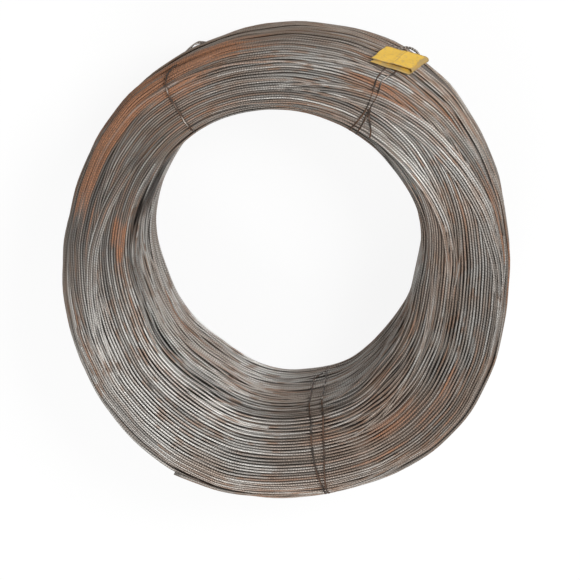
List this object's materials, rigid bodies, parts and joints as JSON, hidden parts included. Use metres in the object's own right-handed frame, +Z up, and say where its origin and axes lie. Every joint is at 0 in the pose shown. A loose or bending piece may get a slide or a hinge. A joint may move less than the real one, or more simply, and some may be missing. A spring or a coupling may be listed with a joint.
{
  "type": "coil of indented steel wire",
  "caption": "Ring-shaped coil of rusty indented steel wire, held by wire ties and marked with a folded tag; lies flat on one end and is lifted or paid off by its bore.",
  "frame": {"origin": "on the floor plane, under the middle of the outer rim, with the coil lying flat", "axes": "+Z up along the coil axis; +X to the right and +Y along the longer side of the oval rim, towards the thin side of the ring, as the picture shows it"},
  "size_m": [0.562, 0.5979, 0.214],
  "materials": {
    "wire_coil": "dull cold-drawn steel with patches of rust",
    "tie_wire": "dark annealed steel, rusty",
    "label_tag": "dirty yellow sheet, folded, no print"
  },
  "bodies": {
    "root": {"wire_coil": "wire_coil", "tie_upper_left": "tie_wire", "tie_upper_right": "tie_wire", "tie_bottom": "tie_wire", "label_tag": "label_tag"}
  },
  "joints": []
}
